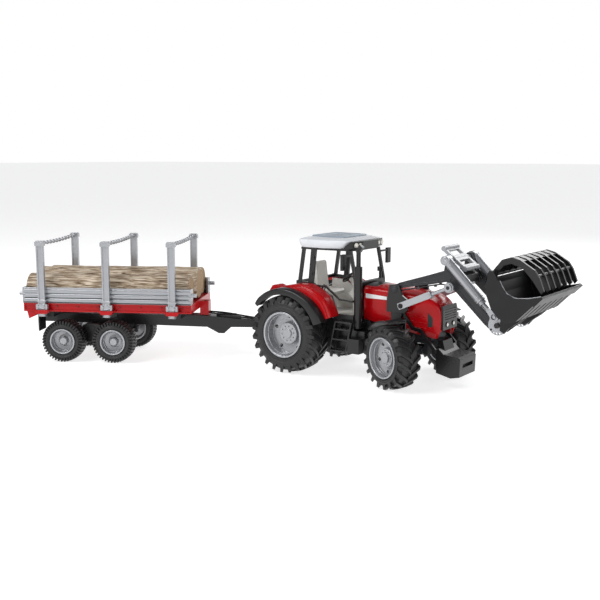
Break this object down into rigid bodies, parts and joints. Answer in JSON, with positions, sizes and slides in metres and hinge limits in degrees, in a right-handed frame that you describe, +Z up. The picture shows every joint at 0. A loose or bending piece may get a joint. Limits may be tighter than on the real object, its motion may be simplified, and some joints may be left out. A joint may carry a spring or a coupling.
{
  "type": "toy tractor",
  "caption": "Scale toy tractor with cab, front loader bucket and grapple, hitched to a low timber trailer with stakes and logs.",
  "frame": {"origin": "middle of the whole model's outline seen from above, on the ground", "axes": "+X towards the front of the tractor, +Y to its left, +Z up"},
  "size_m": [0.8414, 0.3606, 0.2034],
  "materials": {
    "red_plastic": "glossy",
    "black_plastic": "satin",
    "dark_grey_plastic": "satin",
    "tyre": "matte",
    "silver_plastic": "satin",
    "grey_plastic": "satin",
    "pale_plastic": "glossy",
    "lamp": "glossy",
    "board": "satin",
    "log": "matte bark"
  },
  "bodies": {
    "tractor": {"tractor_chassis": "dark_grey_plastic", "engine_block": "dark_grey_plastic", "cab_frame": "black_plastic", "cab_interior": "grey_plastic", "seat": "grey_plastic", "cab_roof": "pale_plastic", "roof_visor": "black_plastic", "work_lamps": "lamp", "fender_right": "red_plastic", "fender_left": "red_plastic", "fender_flare_right": "black_plastic", "fender_flare_left": "black_plastic", "mirrors": "black_plastic", "exhaust_stack": "black_plastic", "steps_right": "black_plastic", "steps_left": "black_plastic", "front_weight": "black_plastic", "loader_brackets": "dark_grey_plastic"},
    "steering_wheel": {"steering_wheel": "black_plastic"},
    "hood": {"hood": "red_plastic", "grille": "black_plastic", "headlights": "lamp"},
    "roof_hatch": {"roof_hatch": "pale_plastic"},
    "front_axle": {"front_axle": "dark_grey_plastic"},
    "tie_rod": {"tie_rod": "dark_grey_plastic"},
    "boom": {"boom_arm_right": "dark_grey_plastic", "boom_arm_left": "dark_grey_plastic", "boom_cross_tube": "black_plastic"},
    "lift_barrels": {"lift_cylinders": "silver_plastic"},
    "lift_rods": {"lift_rods": "silver_plastic"},
    "tilt_barrels": {"tilt_cylinders": "silver_plastic", "tilt_handle": "grey_plastic"},
    "tilt_rods": {"tilt_rods": "silver_plastic"},
    "bucket": {"bucket": "black_plastic", "tilt_discs": "silver_plastic"},
    "grapple": {"grapple": "black_plastic"},
    "hitch_pin": {"hitch_pin": "silver_plastic"},
    "trailer": {"trailer_chassis": "black_plastic", "trailer_bed": "red_plastic", "side_board_right": "board", "side_board_left": "board"},
    "logs": {"logs": "log"},
    "bogie": {"bogie_frame": "black_plastic"},
    "rear_wheel_right": {"rear_tyre_right": "tyre", "rear_rim_right": "silver_plastic"},
    "knuckle_right": {"steering_knuckle_right": "black_plastic"},
    "front_wheel_right": {"front_tyre_right": "tyre", "front_rim_right": "silver_plastic"},
    "rear_wheel_left": {"rear_tyre_left": "tyre", "rear_rim_left": "silver_plastic"},
    "knuckle_left": {"steering_knuckle_left": "black_plastic"},
    "front_wheel_left": {"front_tyre_left": "tyre", "front_rim_left": "silver_plastic"},
    "stakes_rear": {"stake_pair_rear": "silver_plastic"},
    "stakes_middle": {"stake_pair_middle": "silver_plastic"},
    "stakes_front": {"stake_pair_front": "silver_plastic"},
    "trailer_wheels_front": {"trailer_tyres_front": "tyre", "trailer_wheelset_front": "silver_plastic"},
    "trailer_wheels_rear": {"trailer_tyres_rear": "tyre", "trailer_wheelset_rear": "silver_plastic"}
  },
  "joints": [
    {"name": "rear_wheel_right_spin", "type": "hinge", "parent": "tractor", "child": "rear_wheel_right", "pos_m": [0.03132, 0.01357, 0.0585], "axis": [0, 1, 0], "continuous": true},
    {"name": "rear_wheel_left_spin", "type": "hinge", "parent": "tractor", "child": "rear_wheel_left", "pos_m": [0.03132, 0.14607, 0.0585], "axis": [0, 1, 0], "continuous": true},
    {"name": "front_axle_rock", "type": "hinge", "parent": "tractor", "child": "front_axle", "pos_m": [0.21482, 0.07982, 0.0452], "axis": [1, 0, 0], "range_deg": [-6, 6]},
    {"name": "steer_right", "type": "hinge", "parent": "front_axle", "child": "knuckle_right", "pos_m": [0.21482, 0.02802, 0.0452], "axis": [0, 0, 1], "range_deg": [-2.5, 47.5]},
    {"name": "steer_left", "type": "hinge", "parent": "front_axle", "child": "knuckle_left", "pos_m": [0.21482, 0.13162, 0.0452], "axis": [0, 0, 1], "range_deg": [-2.6, 47.6]},
    {"name": "tie_rod_slide", "type": "slide", "parent": "front_axle", "child": "tie_rod", "axis": [0, 1, 0], "range_m": [-0.01135, 0.0007]},
    {"name": "front_wheel_right_spin", "type": "hinge", "parent": "knuckle_right", "child": "front_wheel_right", "pos_m": [0.20725, 0.00972, 0.0452], "axis": [0.3827, 0.9239, 0], "continuous": true},
    {"name": "front_wheel_left_spin", "type": "hinge", "parent": "knuckle_left", "child": "front_wheel_left", "pos_m": [0.2224, 0.14991, 0.0452], "axis": [0.3827, 0.9239, 0], "continuous": true},
    {"name": "steering_wheel_turn", "type": "hinge", "parent": "tractor", "child": "steering_wheel", "pos_m": [0.09282, 0.07982, 0.1402], "axis": [-0.6247, 0, 0.7809], "range_deg": [-9, 167]},
    {"name": "hood_lift", "type": "hinge", "parent": "tractor", "child": "hood", "pos_m": [0.13932, 0.07982, 0.135], "axis": [0, -1, 0], "range_deg": [0, 35]},
    {"name": "roof_hatch_lift", "type": "hinge", "parent": "tractor", "child": "roof_hatch", "pos_m": [0.10302, 0.07982, 0.2013], "axis": [0, 1, 0], "range_deg": [0, 40]},
    {"name": "loader_lift", "type": "hinge", "parent": "tractor", "child": "boom", "pos_m": [0.19332, 0.07982, 0.135], "axis": [0, -1, 0], "range_deg": [-26, 20]},
    {"name": "lift_barrel_swing", "type": "hinge", "parent": "tractor", "child": "lift_barrels", "pos_m": [0.20932, 0.07982, 0.114], "axis": [0, -1, 0], "range_deg": [-28.8, 22.2]},
    {"name": "lift_rod_slide", "type": "slide", "parent": "lift_barrels", "child": "lift_rods", "axis": [0.9165, 0, 0.4001], "range_m": [-0.0112, 0.0086]},
    {"name": "bucket_tilt", "type": "hinge", "parent": "boom", "child": "bucket", "pos_m": [0.34832, 0.07982, 0.1], "axis": [0, 1, 0], "range_deg": [-10, 70]},
    {"name": "tilt_barrel_swing", "type": "hinge", "parent": "boom", "child": "tilt_barrels", "pos_m": [0.27332, 0.07982, 0.181], "axis": [0, -1, 0], "range_deg": [-0.8, 4.7]},
    {"name": "tilt_rod_slide", "type": "slide", "parent": "tilt_barrels", "child": "tilt_rods", "axis": [0.7096, 0, -0.7046], "range_m": [-0.0018, 0.0112]},
    {"name": "grapple_open", "type": "hinge", "parent": "bucket", "child": "grapple", "pos_m": [0.35132, 0.07982, 0.171], "axis": [0, -1, 0], "range_deg": [0, 60]},
    {"name": "hitch_pin_pull", "type": "slide", "parent": "tractor", "child": "hitch_pin", "axis": [0, 0, 1], "range_m": [0, 0.02]},
    {"name": "trailer_yaw", "type": "hinge", "parent": "tractor", "child": "trailer", "pos_m": [-0.03748, 0.07982, 0.0555], "axis": [0, 0, 1], "range_deg": [-89.5, 30.5]},
    {"name": "bogie_rock", "type": "hinge", "parent": "trailer", "child": "bogie", "pos_m": [-0.29284, -0.06466, 0.05], "axis": [-0.4924, 0.8704, 0], "range_deg": [-10, 10]},
    {"name": "trailer_wheels_front_spin", "type": "hinge", "parent": "bogie", "child": "trailer_wheels_front", "pos_m": [-0.25781, -0.04484, 0.0331], "axis": [-0.4924, 0.8704, 0], "continuous": true},
    {"name": "trailer_wheels_rear_spin", "type": "hinge", "parent": "bogie", "child": "trailer_wheels_rear", "pos_m": [-0.32787, -0.08448, 0.0331], "axis": [-0.4924, 0.8704, 0], "continuous": true},
    {"name": "stakes_rear_pull", "type": "slide", "parent": "trailer", "child": "stakes_rear", "axis": [0, 0, 1], "range_m": [0, 0.04]},
    {"name": "stakes_middle_pull", "type": "slide", "parent": "trailer", "child": "stakes_middle", "axis": [0, 0, 1], "range_m": [0, 0.04]},
    {"name": "stakes_front_pull", "type": "slide", "parent": "trailer", "child": "stakes_front", "axis": [0, 0, 1], "range_m": [0, 0.04]},
    {"name": "logs_lift", "type": "slide", "parent": "trailer", "child": "logs", "axis": [0, 0, 1], "range_m": [0, 0.025]}
  ],
  "couplings": [
    {"joint": "steer_left", "follows": "steer_right", "ratio": 1},
    {"joint": "tie_rod_slide", "follows": "steer_right", "m_per_rad": -0.0136},
    {"joint": "steering_wheel_turn", "follows": "steer_right", "ratio": 3.5},
    {"joint": "lift_barrel_swing", "follows": "loader_lift", "ratio": 1.1},
    {"joint": "lift_rod_slide", "follows": "loader_lift", "m_per_rad": 0.0243},
    {"joint": "tilt_barrel_swing", "follows": "bucket_tilt", "ratio": 0.065},
    {"joint": "tilt_rod_slide", "follows": "bucket_tilt", "m_per_rad": 0.009}
  ]
}
